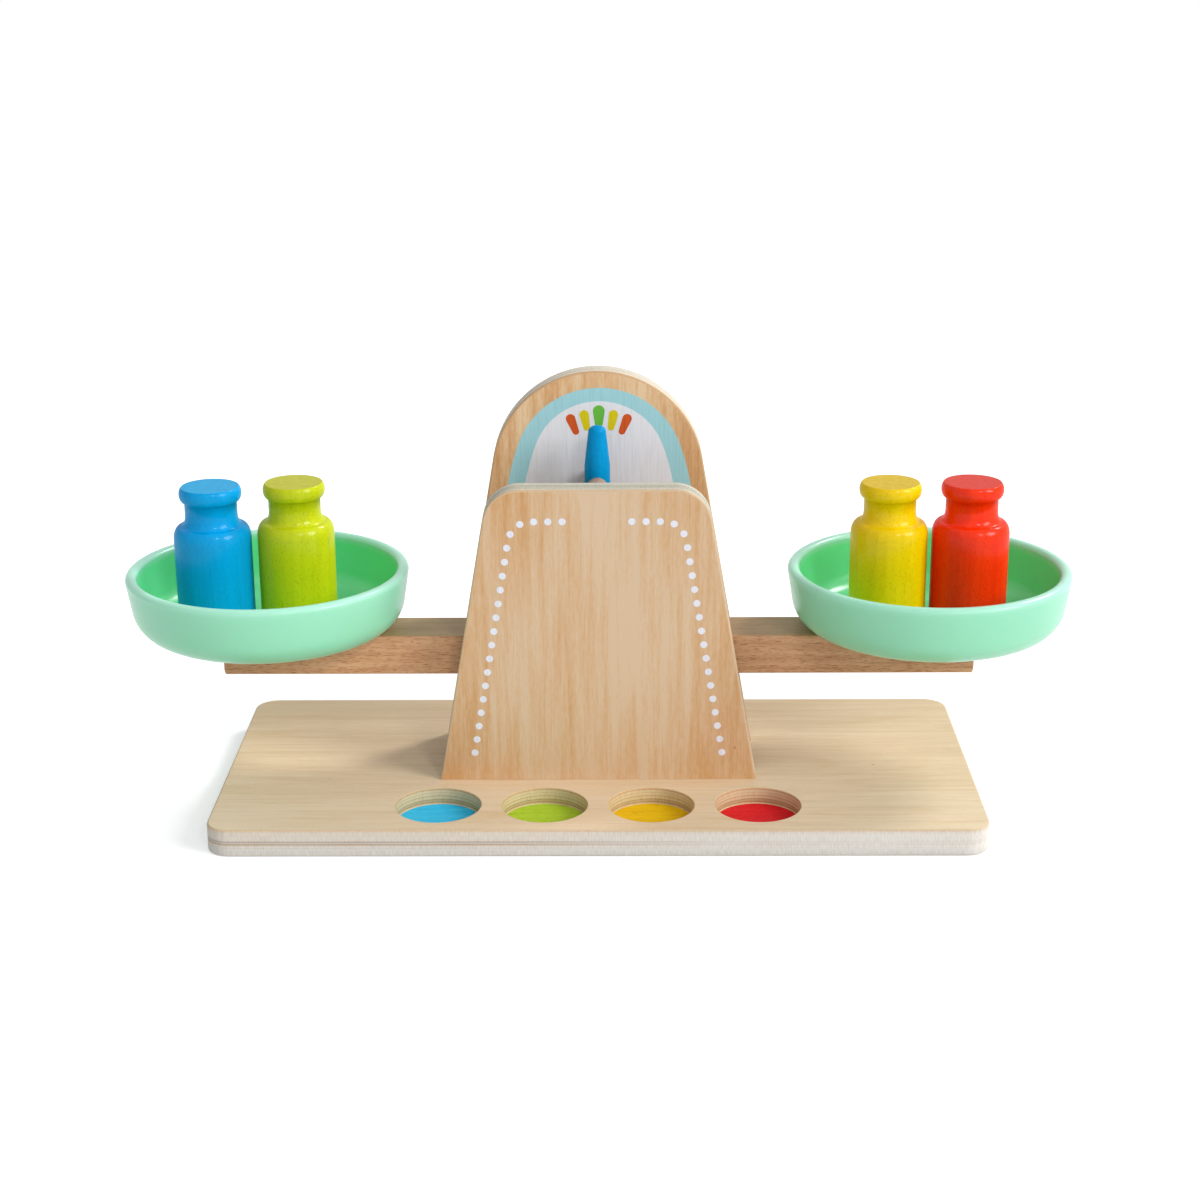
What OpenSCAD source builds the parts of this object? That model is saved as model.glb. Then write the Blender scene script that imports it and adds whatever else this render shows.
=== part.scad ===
// Wooden balance scale toy for small children
// A beam with a bowl at each end hangs between two panels that stand on a board.
// Origin: middle of the board's underside. X runs along the board, the front faces -Y, Z is up.
// All sizes are in millimetres.

/* [Base board] */
// Width of the board
base_w = 320; // [300:1:360]
// Depth of the board from front to back
base_d = 149; // [140:1:170]
// Thickness of the plywood board
base_t = 11.6; // [11.2:0.1:16]
// Radius of the board's four corners seen from above
base_corner_r = 10; // [3:0.5:20]

/* [Sockets for the weights] */
// Diameter of each round socket
socket_d = 35.7; // [34:0.1:38]
// Depth from the board's face down to the coloured disc
socket_depth = 7.2; // [5:0.1:8]
// Distance from one socket's centre to the next
socket_pitch = 44.3; // [40:0.1:50]
// Distance from the board's front edge to the sockets' centres
socket_setback = 25.8; // [21:0.1:27]
// Thickness of the coloured disc in each socket
disc_t = 1; // [0.6:0.1:2]
// Width of the narrow ledge that the disc is let in behind
disc_ledge = 0.35; // [0.2:0.05:1]

/* [Tower panels] */
// Thickness of the plywood panels
panel_t = 12; // [10:0.5:15]
// Free gap between the two panels
panel_gap = 30; // [28:0.5:36]
// Distance that the gap's middle lies behind the board's middle
tower_shift = 5.1; // [3:0.1:8]
// Width of both panels at the board
panel_foot_w = 134.8; // [120:0.5:140]
// Width of the front panel at its top, measured between the straight sides
panel_top_w = 90.2; // [80:0.5:94]
// Height of the front panel
front_panel_h = 128.1; // [122:0.5:132]
// Radius of the front panel's two top corners
front_corner_r = 15.5; // [6:0.5:22]
// Radius of the rear panel's arched top
arch_r = 45.3; // [43.4:0.1:46]

/* [Panel fixings] */
// Diameter of the glued dowels under the panels
dowel_d = 6; // [5:0.5:8]
// Length of each dowel
dowel_l = 22; // [16:1:30]
// Length of dowel that sits in the board
dowel_in_base = 8; // [6:0.5:9]
// Distance between the two dowels of a panel
dowel_spacing = 44; // [34:1:56]
// Diameter of the screws' shanks
screw_d = 4; // [3:0.5:5]
// Diameter of the countersunk screw heads
screw_head_d = 8; // [7:0.5:9.5]
// Length of the screws with their heads
screw_l = 35; // [26:1:45]
// Distance between the two screws of a panel
screw_spacing = 92; // [80:1:104]

/* [Axle and pointer] */
// Height of the swing axis over the board's face
axle_h = 123; // [118:0.5:126]
// Diameter of the steel axle pin
axle_d = 4; // [3:0.5:5]
// Depth of the axle pin's blind hole in each panel
axle_seat_depth = 8; // [5:0.5:9]
// Diameter of the wooden spacers on the axle
spacer_d = 9.2; // [8:0.1:10.5]
// Diameter of the pointer's straight stick
pointer_d = 10.8; // [10:0.1:13]
// Height of the pointer's tip over the swing axis
pointer_rise = 25.6; // [22:0.1:28]
// Length of the pointer's taper under its round end
taper_l = 14.7; // [10:0.1:16]
// Diameter of the pointer where its round end starts
pointer_tip_d = 7.4; // [6:0.1:9]
// Height of the pointer's round end
pointer_nose_h = 2.4; // [1.5:0.1:3]
// Diameter of the glued tenon at the pointer's foot
tenon_d = 8; // [6:0.5:9]
// Length of the tenon
tenon_l = 12; // [8:0.5:13]

/* [Beam] */
// Length of the beam
beam_l = 320; // [310:1:340]
// Depth of the beam from front to back
beam_d = 25.4; // [22:0.1:27]
// Height of the beam
beam_h = 17.1; // [15:0.1:22]
// Distance from the swing axis down to the beam's top face
beam_drop = 63.1; // [58:0.1:66]
// Radius of the corners at the beam's ends
beam_corner_r = 2.5; // [1:0.5:5]
// Distance from the swing axis out to each bowl's centre
bowl_arm = 141; // [132:0.5:148]

/* [Bowls] */
// Diameter of a bowl over its rim
bowl_d = 120; // [112:1:126]
// Height of a bowl
bowl_h = 27.1; // [24:0.1:34]
// Diameter of the foot where the wall would meet the ground without rounding
bowl_foot_d = 112; // [104:0.5:112]
// Outer radius between the wall and the underside
bowl_corner_r = 13.8; // [8:0.1:16]
// Wall thickness of a bowl
bowl_wall = 4.9; // [3:0.1:6]
// Thickness of a bowl's floor
bowl_floor_t = 3.4; // [2.5:0.1:5]
// Height of the rounded rim
bowl_rim_h = 2.2; // [1:0.1:3]
// Diameter of the peg under a bowl
peg_d = 12; // [8:0.5:16]
// Length of the peg under a bowl
peg_l = 10; // [6:0.5:12]

/* [Weights] */
// Height of a weight
weight_h = 60.4; // [50:0.1:66]
// Diameter of a weight's body
weight_d = 32.6; // [31:0.1:33.5]
// Diameter of a weight's cap
cap_d = 26.2; // [25:0.1:28]
// Diameter of the flat on top of the cap, out to its crisp edge
cap_flat_d = 24.1; // [23:0.1:24.6]
// Height of the cap from its flat down to the neck
cap_h = 6.5; // [5:0.1:8]
// Drop from the flat to the cap's widest place
cap_widest_drop = 2.9; // [2:0.1:3.5]
// Diameter of the neck
neck_d = 22; // [20:0.1:23]
// Length of the neck's straight part
neck_l = 5.5; // [4:0.1:7]
// Height of the hollow curve between neck and shoulder
hollow_h = 4.8; // [3:0.1:6]
// Height of the shoulder's rounding
shoulder_h = 5.4; // [4:0.1:7]
// Radius of the rounding at a weight's foot
weight_foot_r = 1.2; // [0.6:0.1:2]
// Free gap between the two weights of a bowl
pair_gap = 1.9; // [1:0.1:6]
// Shift of the left pair away from the middle of its bowl, outwards
left_pair_shift = 4.9; // [0:0.1:6]
// Shift of the right pair away from the middle of its bowl, inwards
right_pair_shift = 0.3; // [0:0.1:6]
// Distance that the green weight stands behind the blue one
left_pair_stagger = 6; // [0:0.5:8]

/* [Clearances] */
// Radial clearance of the axle pin in the pointer, which swings
swing_clearance = 0.08; // [0.03:0.01:0.09]
// Radial clearance of what is glued or driven in
glue_clearance = 0.05; // [0.02:0.01:0.1]
// Radial clearance of the bowls' pegs in the beam
peg_clearance = 0.3; // [0.2:0.05:0.5]
// End gap between each spacer and the pointer
spacer_gap = 0.3; // [0.1:0.05:0.5]

/* [Hidden] */
$fn = 64;
// Facets shown on the sockets, discs and arch, and on the bowls
large_fn = 96;
bowl_fn = 128;
// Segments in each rounded stretch of a turned outline
arc_steps = 10;
// Number of sockets in the board
socket_count = 4;
// Overrun of every cut
over = 1;
// Depth of the cross recess in a screw head
screw_recess_depth = 1.6;
// Width of the cross recess's slots
screw_recess_w = 1.1;
// Span of the cross recess from end to end
screw_recess_span = 4.6;
// Length of a screw's point
screw_point_l = 4;
// Chamfer at both ends of a dowel
dowel_chamfer = 0.8;
// Spare depth under a dowel, a tenon, a peg or a screw
hole_spare = 0.6;
// Share of the way from neck to body at which a weight's hollow runs into its shoulder
ledge_share = 0.44;

socket_r = socket_d / 2;
socket_y = -base_d / 2 + socket_setback;
disc_r = socket_r - disc_ledge - glue_clearance;
front_panel_y = tower_shift - panel_gap / 2 - panel_t;
rear_panel_y = tower_shift + panel_gap / 2;
front_mid_y = front_panel_y + panel_t / 2;
rear_mid_y = rear_panel_y + panel_t / 2;
axle_z = base_t + axle_h;
beam_top_z = axle_z - beam_drop;
beam_bottom_z = beam_top_z - beam_h;
// Lean of the panels' straight sides away from upright
side_lean = atan((panel_foot_w - panel_top_w) / 2 / front_panel_h);
// Height of the arch's centre at which the straight sides run into the arch
arch_z = (panel_foot_w / 2 * cos(side_lean) - arch_r) / sin(side_lean);
bowl_floor_z = beam_top_z + bowl_floor_t;
weight_step = weight_d + pair_gap;

// Points on an elliptical arc about a centre, from one angle to another
function arc_points(centre, radii, from, to) = [for (i = [0:arc_steps])
    let (a = from + (to - from) * i / arc_steps)
    [centre[0] + radii[0] * cos(a), centre[1] + radii[1] * sin(a)]];

// Half width of the panels at a height over the board
function side_x(z) = panel_foot_w / 2 - z * tan(side_lean);

// Flat rectangle with round corners, centred on the origin
module round_rect(w, d, r) {
    square([w - 2 * r, d], center = true);
    square([w, d - 2 * r], center = true);
    for (x = [-1, 1], y = [-1, 1])
        translate([x * (w / 2 - r), y * (d / 2 - r)])
            circle(r = r);
}

// Flat outline of the front panel, its foot on the X axis
module front_outline() {
    corner_z = front_panel_h - front_corner_r;
    corner_x = side_x(corner_z) - front_corner_r / cos(side_lean);
    touch_x = corner_x + front_corner_r * cos(side_lean);
    touch_z = corner_z + front_corner_r * sin(side_lean);
    polygon([[-panel_foot_w / 2, 0], [panel_foot_w / 2, 0], [touch_x, touch_z], [corner_x, front_panel_h],
        [-corner_x, front_panel_h], [-touch_x, touch_z]]);
    for (x = [-corner_x, corner_x])
        translate([x, corner_z])
            circle(r = front_corner_r);
}

// Flat outline of the rear panel, its foot on the X axis
module rear_outline() {
    touch_x = arch_r * cos(side_lean);
    touch_z = arch_z + arch_r * sin(side_lean);
    polygon([[-panel_foot_w / 2, 0], [panel_foot_w / 2, 0], [touch_x, touch_z], [-touch_x, touch_z]]);
    translate([0, arch_z])
        circle(r = arch_r, $fn = large_fn);
}

// Stands a flat outline up as a panel whose front face lies at y
module stand(y, thickness) {
    translate([0, y + thickness, 0])
        rotate([90, 0, 0])
            linear_extrude(height = thickness)
                children();
}

// Cylinder along Y from y to y plus its length, about the swing axis
module along_axle(y, length, r) {
    translate([0, y + length, axle_z])
        rotate([90, 0, 0])
            cylinder(h = length, r = r);
}

// Places a fixing and its twin under both panels
module under_panels(spacing) {
    for (x = [-spacing / 2, spacing / 2], y = [front_mid_y, rear_mid_y])
        translate([x, y, 0])
            children();
}

// Outline of a screw with its radii grown by a clearance, turned about its axis
module screw_shape(grow) {
    head_h = (screw_head_d - screw_d) / 2;
    rotate_extrude()
        polygon([[0, 0], [screw_head_d / 2 + grow, 0], [screw_d / 2 + grow, head_h],
            [screw_d / 2 + grow, screw_l - screw_point_l], [0, screw_l]]);
}

// Blind holes in a panel's foot for its dowels and screws
module panel_holes() {
    under_panels(dowel_spacing)
        translate([0, 0, base_t - over])
            cylinder(h = dowel_l - dowel_in_base + hole_spare + over, r = dowel_d / 2 + glue_clearance);
    under_panels(screw_spacing)
        translate([0, 0, base_t - over])
            cylinder(h = screw_l - base_t + hole_spare + over, r = screw_d / 2 + glue_clearance);
}

module base_board() {
    color("#dcc9a0")
        difference() {
            linear_extrude(height = base_t)
                round_rect(base_w, base_d, base_corner_r);
            for (i = [0:socket_count - 1])
                socket_place(i) {
                    translate([0, 0, -socket_depth])
                        cylinder(h = socket_depth + over, r = socket_r, $fn = large_fn);
                    translate([0, 0, -socket_depth - disc_t])
                        cylinder(h = socket_depth + disc_t, r = socket_r - disc_ledge, $fn = large_fn);
                }
            under_panels(dowel_spacing)
                translate([0, 0, base_t - dowel_in_base - hole_spare])
                    cylinder(h = dowel_in_base + hole_spare + over, r = dowel_d / 2 + glue_clearance);
            under_panels(screw_spacing)
                screw_shape(glue_clearance);
        }
}

// Places a socket's piece at the board's face, counted from the left
module socket_place(i) {
    translate([(i - (socket_count - 1) / 2) * socket_pitch, socket_y, base_t])
        children();
}

module socket_disc(i) {
    socket_place(i)
        translate([0, 0, -socket_depth - disc_t])
            cylinder(h = disc_t, r = disc_r, $fn = large_fn);
}

module disc_blue() {
    color("#36a8de")
        socket_disc(0);
}

module disc_green() {
    color("#98bb2b")
        socket_disc(1);
}

module disc_yellow() {
    color("#ddb51c")
        socket_disc(2);
}

module disc_red() {
    color("#c8202c")
        socket_disc(3);
}

module front_panel() {
    color("#ddbb8e")
        difference() {
            translate([0, 0, base_t])
                stand(front_panel_y, panel_t)
                    front_outline();
            along_axle(front_panel_y + panel_t - axle_seat_depth - hole_spare,
                axle_seat_depth + hole_spare + over, axle_d / 2 + glue_clearance);
            panel_holes();
        }
}

module rear_panel() {
    color("#c9955c")
        difference() {
            translate([0, 0, base_t])
                stand(rear_panel_y, panel_t)
                    rear_outline();
            along_axle(rear_panel_y - over, axle_seat_depth + hole_spare + over, axle_d / 2 + glue_clearance);
            panel_holes();
        }
}

module panel_dowels() {
    color("#d8bc90")
        under_panels(dowel_spacing)
            translate([0, 0, base_t - dowel_in_base])
                rotate_extrude()
                    polygon([[0, 0], [dowel_d / 2 - dowel_chamfer, 0], [dowel_d / 2, dowel_chamfer],
                        [dowel_d / 2, dowel_l - dowel_chamfer], [dowel_d / 2 - dowel_chamfer, dowel_l],
                        [0, dowel_l]]);
}

module panel_screws() {
    color("#b9bcc0")
        under_panels(screw_spacing)
            difference() {
                screw_shape(0);
                for (turn = [0, 90])
                    rotate(turn)
                        cube([screw_recess_span, screw_recess_w, 2 * screw_recess_depth], center = true);
            }
}

module axle_pin() {
    color("#b9bcc0")
        along_axle(tower_shift - panel_gap / 2 - axle_seat_depth, panel_gap + 2 * axle_seat_depth, axle_d / 2);
}

// Wooden round on the axle, from a panel's face to just short of the pointer
module spacer(y) {
    length = (panel_gap - pointer_d) / 2 - spacer_gap;
    color("#d9b48c")
        difference() {
            along_axle(y, length, spacer_d / 2);
            along_axle(y - over, length + 2 * over, axle_d / 2 + glue_clearance);
        }
}

module front_spacer() {
    spacer(tower_shift - panel_gap / 2);
}

module rear_spacer() {
    spacer(tower_shift + pointer_d / 2 + spacer_gap);
}

module pointer() {
    pointer_r = pointer_d / 2;
    tip_z = axle_z + pointer_rise;
    nose_z = tip_z - pointer_nose_h;
    tenon_r = tenon_d / 2;
    color("#0c93d8")
        difference() {
            translate([0, tower_shift, 0])
                rotate_extrude()
                    polygon(concat([[0, beam_top_z - tenon_l], [tenon_r, beam_top_z - tenon_l],
                        [tenon_r, beam_top_z], [pointer_r, beam_top_z], [pointer_r, nose_z - taper_l]],
                        arc_points([0, nose_z], [pointer_tip_d / 2, pointer_nose_h], 0, 90)));
            along_axle(tower_shift - pointer_r - over, pointer_d + 2 * over, axle_d / 2 + swing_clearance);
        }
}

module beam() {
    color("#cfa077")
        difference() {
            translate([0, 0, beam_bottom_z + beam_h / 2])
                stand(tower_shift - beam_d / 2, beam_d)
                    round_rect(beam_l, beam_h, beam_corner_r);
            translate([0, tower_shift, beam_top_z - tenon_l - hole_spare])
                cylinder(h = tenon_l + hole_spare + over, r = tenon_d / 2 + glue_clearance);
            for (x = [-bowl_arm, bowl_arm])
                translate([x, tower_shift, beam_top_z - peg_l - hole_spare])
                    cylinder(h = peg_l + hole_spare + over, r = peg_d / 2 + peg_clearance);
        }
}

// Bowl with a rounded rim, a leaning wall, a flat floor and a round peg under its middle
module bowl(x) {
    rim_z = bowl_h - bowl_rim_h;
    lean = atan((bowl_d - bowl_foot_d) / 2 / rim_z);
    // Places where the outer and the inner wall would meet the ground plane
    outer_x = bowl_foot_d / 2;
    inner_x = outer_x - bowl_wall / cos(lean);
    inner_r = bowl_corner_r - bowl_wall;
    // Centres of the outer and the inner rounding between wall and floor
    outer_c = [outer_x - bowl_corner_r * (1 - sin(lean)) / cos(lean), bowl_corner_r];
    inner_c = [inner_x + ((bowl_floor_t + inner_r) * sin(lean) - inner_r) / cos(lean), bowl_floor_t + inner_r];
    rim_half = bowl_wall / cos(lean) / 2;
    translate([x, tower_shift, beam_top_z])
        rotate_extrude($fn = bowl_fn)
            polygon(concat([[0, -peg_l], [peg_d / 2, -peg_l], [peg_d / 2, 0]],
                arc_points(outer_c, [bowl_corner_r, bowl_corner_r], -90, -lean),
                arc_points([bowl_d / 2 - rim_half, rim_z], [rim_half, bowl_rim_h], 0, 180),
                arc_points(inner_c, [inner_r, inner_r], -lean, -90),
                [[0, bowl_floor_t]]));
}

module left_bowl() {
    color("#a5e8ca")
        bowl(-bowl_arm);
}

module right_bowl() {
    color("#a5e8ca")
        bowl(bowl_arm);
}

// Turned weight standing on a bowl's floor: cap, neck, hollow, shoulder and body
module weight(x, y) {
    neck_top = weight_h - cap_h;
    neck_bottom = neck_top - neck_l;
    ledge_z = neck_bottom - hollow_h;
    body_top = ledge_z - shoulder_h;
    body_r = weight_d / 2;
    neck_r = neck_d / 2;
    cap_r = cap_d / 2;
    flat_r = cap_flat_d / 2;
    widest_z = weight_h - cap_widest_drop;
    // Radius at which the hollow runs over into the shoulder
    ledge_r = neck_r + (body_r - neck_r) * ledge_share;
    // Angle on the cap's rounding at which it meets the flat
    edge_angle = acos((flat_r - neck_r) / (cap_r - neck_r));
    cap_rise = cap_widest_drop / sin(edge_angle);
    translate([x, y, bowl_floor_z])
        rotate_extrude()
            polygon(concat([[0, 0]],
                arc_points([body_r - weight_foot_r, weight_foot_r], [weight_foot_r, weight_foot_r], -90, 0),
                arc_points([ledge_r, body_top], [body_r - ledge_r, shoulder_h], 0, 90),
                arc_points([ledge_r, neck_bottom], [neck_r - ledge_r, -hollow_h], 90, 0),
                arc_points([neck_r, widest_z], [cap_r - neck_r, widest_z - neck_top], -90, 0),
                arc_points([neck_r, widest_z], [cap_r - neck_r, cap_rise], 0, edge_angle),
                [[0, weight_h]]));
}

module weight_blue() {
    color("#0c93d8")
        weight(-bowl_arm - left_pair_shift - weight_step / 2, tower_shift - left_pair_stagger / 2);
}

module weight_green() {
    color("#b5cc25")
        weight(-bowl_arm - left_pair_shift + weight_step / 2, tower_shift + left_pair_stagger / 2);
}

module weight_yellow() {
    color("#e0cb20")
        weight(bowl_arm - right_pair_shift - weight_step / 2, tower_shift);
}

module weight_red() {
    color("#d92e20")
        weight(bowl_arm - right_pair_shift + weight_step / 2, tower_shift);
}

base_board();
front_panel();
rear_panel();
panel_dowels();
panel_screws();
axle_pin();
front_spacer();
rear_spacer();
pointer();
beam();
left_bowl();
right_bowl();
weight_blue();
weight_green();
weight_yellow();
weight_red();
disc_blue();
disc_green();
disc_yellow();
disc_red();
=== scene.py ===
# %% [markdown]
# # A wooden balance scale
# The real object is a plywood board with two upright plywood panels. A beech beam swings between them on a
# steel pin, carries a plastic bowl at each end and moves a blue pointer in front of a printed dial. Four
# stained beech weights stand in the bowls, and four sockets in the board hold them when put away.
# OpenSCAD made the exact shapes and MuJoCo moves them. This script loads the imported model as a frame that
# stays fixed, and dresses it: every piece below goes where a CAD node says.

# %% The frame
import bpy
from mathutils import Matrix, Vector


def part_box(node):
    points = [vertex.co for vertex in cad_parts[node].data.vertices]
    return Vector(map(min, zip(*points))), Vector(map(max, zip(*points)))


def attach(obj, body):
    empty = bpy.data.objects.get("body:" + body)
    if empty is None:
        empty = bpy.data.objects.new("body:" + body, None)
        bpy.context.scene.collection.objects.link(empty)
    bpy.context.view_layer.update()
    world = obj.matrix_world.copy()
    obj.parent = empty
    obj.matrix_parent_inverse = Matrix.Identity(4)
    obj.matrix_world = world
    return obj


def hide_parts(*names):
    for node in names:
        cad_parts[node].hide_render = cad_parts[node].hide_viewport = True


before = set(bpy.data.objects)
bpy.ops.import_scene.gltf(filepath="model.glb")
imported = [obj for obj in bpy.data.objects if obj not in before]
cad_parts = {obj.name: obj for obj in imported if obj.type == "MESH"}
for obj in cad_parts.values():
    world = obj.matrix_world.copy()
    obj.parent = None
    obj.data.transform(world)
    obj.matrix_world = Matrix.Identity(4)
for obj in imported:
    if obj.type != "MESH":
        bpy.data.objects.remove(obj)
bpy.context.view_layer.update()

# %% [markdown]
# ## Millimetres and colours
# A maker thinks in millimetres and Blender in metres, so all shapes below are worked out in millimetres and
# turned to metres once, when a mesh is made. Colours are noted as hex codes, as a screen shows them. Shaders
# want linear light, so one function turns every code.

import bmesh
import bpy
import numpy as np
from mathutils import Matrix, Vector

MM = 0.001


def box_mm(node):
    """A CAD node's lowest and highest corner, in millimetres."""
    return np.array([list(corner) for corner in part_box(node)]) / MM


def colour(code):
    """sRGB hex code to linear light: c / 12.92 when dark, else ((c + 0.055) / 1.055) to the power 2.4."""
    c = np.array([int(code[i:i + 2], 16) for i in (1, 3, 5)]) / 255
    linear = np.where(c <= 0.04045, c / 12.92, ((c + 0.055) / 1.055) ** 2.4)
    return (*linear.tolist(), 1.0)


print("mid grey is", [round(v, 3) for v in colour("#808080")])

# %% [markdown]
# ## The camera
# The camera stands about 90 cm in front of the scale and looks down on it by 18 degrees. Its place and its
# lens were worked out from the board's corners and the four sockets, whose sizes are known, so the render
# can be laid over the photograph. The three rows are where its right, its up and its front point.

# %% Camera


def placed(name, data):
    """A new object in the scene that holds a camera, a lamp or a mesh."""
    made = bpy.data.objects.new(name, data)
    bpy.context.scene.collection.objects.link(made)
    return made


EYE = (0.01066, -0.89877, 0.38231)
RIGHT = (0.9999428, 0.0090101, -0.0057630)
UP = (0.0026424, 0.3140066, 0.9494171)
AHEAD = (-0.010364, 0.949378, -0.313965)
LENS_MM, SENSOR_MM = 66.656, 36
VIEW_END_M = 100

lens = bpy.data.cameras.new("camera")
lens.sensor_width = SENSOR_MM
lens.lens = LENS_MM
lens.clip_end = VIEW_END_M
eye = placed("camera", lens)
eye.matrix_world = Matrix.Translation(EYE) @ Matrix((RIGHT, UP, -Vector(AHEAD))).transposed().to_4x4()
bpy.context.scene.camera = eye
print("camera at", EYE, "with", LENS_MM, "mm")

# %% [markdown]
# ## Adding a node
# A material is a small graph of nodes. Written out it is long, so one function adds a node, sets what it
# has and links what feeds it. A value that is a socket becomes a link, a node stands for its first output,
# and any other value is typed in. Some sockets go by number: Map Range turns the range from 1 to 2 into the
# one from 3 to 4, and Mix goes from colour 6 to colour 7 by the share 0.

# %% One function for nodes


def add(tree, kind, inputs=None, stops=(), **settings):
    """Adds a node of a kind. inputs are its sockets by name or number, stops are (place, hex code) pairs for a
    colour ramp from left to right, and settings are its own properties."""
    node = tree.nodes.new(kind)
    for key, value in settings.items():
        setattr(node, key, value)
    for key, value in (inputs or {}).items():
        if isinstance(value, bpy.types.Node):
            value = value.outputs[0]
        if isinstance(value, bpy.types.NodeSocket):
            tree.links.new(value, node.inputs[key])
        else:
            node.inputs[key].default_value = value
    if stops:
        steps = node.color_ramp.elements
        steps.remove(steps[1])
        steps[0].position, steps[0].color = stops[0][0], colour(stops[0][1])
        for place, code in stops[1:]:
            steps.new(place).color = colour(code)
    return node


def bare_tree(owner):
    """The node tree of a material or of the world, switched on and emptied."""
    owner.use_nodes = True
    owner.node_tree.nodes.clear()
    return owner.node_tree


def new_finish(name):
    """A material, its bare node tree, and the socket that gives the place on the piece."""
    made = bpy.data.materials.new(name)
    tree = bare_tree(made)
    print("finish", name)
    return made, tree, add(tree, "ShaderNodeTexCoord").outputs["Object"]


def looked_at(tree):
    """1 for a ray of the camera and for one that gloss or glass sends on, 0 for the light that falls on the
    object: the largest of three answers of the Light Path."""
    ray = add(tree, "ShaderNodeLightPath")
    seen = ray.outputs["Is Camera Ray"]
    for way in ("Is Glossy Ray", "Is Transmission Ray"):
        seen = add(tree, "ShaderNodeMath", {0: seen, 1: ray.outputs[way]}, operation="MAXIMUM")
    return seen


# %% [markdown]
# ## Light and floor
# The photograph was lit by a wide soft lamp at the right, which leaves left faces dark, and by a smaller one
# behind, for which the tower throws a soft wedge of shadow to the left. A white board lifts the fronts. Suns
# of those widths and an even sky do the same at a plain level, so a colour renders about as it is written,
# and a small weak sun gives the lacquered rounds their bright spots. To the camera and to reflections the
# pale floor adds a glow that brings its lit part to white, while the shadow under the scale stays.

# %% Suns and sky
SUNS = [
    # name, where it comes from, strength, width in degrees
    ("behind", (0.68, 0.48, 0.72), 1.45, 14),
    ("right", (0.85, -0.46, 0.52), 1.85, 26),
    ("small", (0.34, -0.75, 0.55), 0.45, 8),
    ("front", (-0.1, -0.9, 0.55), 0.25, 70),
]
SKY_STRENGTH = 0.4

for name, origin, power, width in SUNS:
    lamp = bpy.data.lights.new("sun_" + name, "SUN")
    lamp.energy = power
    lamp.angle = np.radians(width)
    holder = placed("sun_" + name, lamp)
    holder.rotation_euler = Vector(origin).to_track_quat("Z", "Y").to_euler()
    print("sun", name, "strength", power)

sky = bpy.data.worlds.new("sky")
bpy.context.scene.world = sky
tree = bare_tree(sky)
seen = looked_at(tree)
even = add(tree, "ShaderNodeBackground", {"Color": colour("#F6F8FF"), "Strength": SKY_STRENGTH})
white = add(tree, "ShaderNodeBackground", {"Color": colour("#FFFFFF"), "Strength": 1.0})
both = add(tree, "ShaderNodeMixShader", {0: seen, 1: even, 2: white})
add(tree, "ShaderNodeOutputWorld", {"Surface": both})

# %% Floor
# In mm. The floor lies a hair under the board, so the two faces don't flicker
FLOOR_REACH, FLOOR_DROP = 4000, 0.2
FLOOR_SIDES = 96
FLOOR_GLOW = 0.45

floor_finish = bpy.data.materials.new("pale_floor")
tree = bare_tree(floor_finish)
seen = looked_at(tree)
matt = add(tree, "ShaderNodeBsdfDiffuse", {"Color": colour("#E8E8E8")})
glow = add(tree, "ShaderNodeEmission", {"Color": colour("#FFFFFF"), "Strength": FLOOR_GLOW})
dark = add(tree, "ShaderNodeEmission", {"Color": colour("#000000"), "Strength": 0.0})
shown = add(tree, "ShaderNodeMixShader", {0: seen, 1: dark, 2: glow})
total = add(tree, "ShaderNodeAddShader", {0: matt, 1: shown})
add(tree, "ShaderNodeOutputMaterial", {"Surface": total})

angle = np.linspace(0, 2 * np.pi, FLOOR_SIDES + 1)[:-1]
rim = np.stack([np.cos(angle), np.sin(angle), 0 * angle], -1) * FLOOR_REACH - (0, 0, FLOOR_DROP)
sheet = bpy.data.meshes.new("floor")
sheet.from_pydata((rim * MM).tolist(), [], [list(range(FLOOR_SIDES))])
sheet.materials.append(floor_finish)
placed("floor", sheet)
print("floor reaches", FLOOR_REACH * MM, "m")

# %% [markdown]
# ## From grids of points to a piece
# Each piece is a closed skin sewn from grids of points: a face, an edge or a bore is one grid, worked out
# as one array. A function turns the grids into quads, merges the points where they meet, turns every
# face outwards and counts the edges that don't have a face on both sides, which has to be none.

# %% Sewing grids into a piece
# Points closer than this, in metres, are one
SAME_POINT = 1e-6


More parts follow.
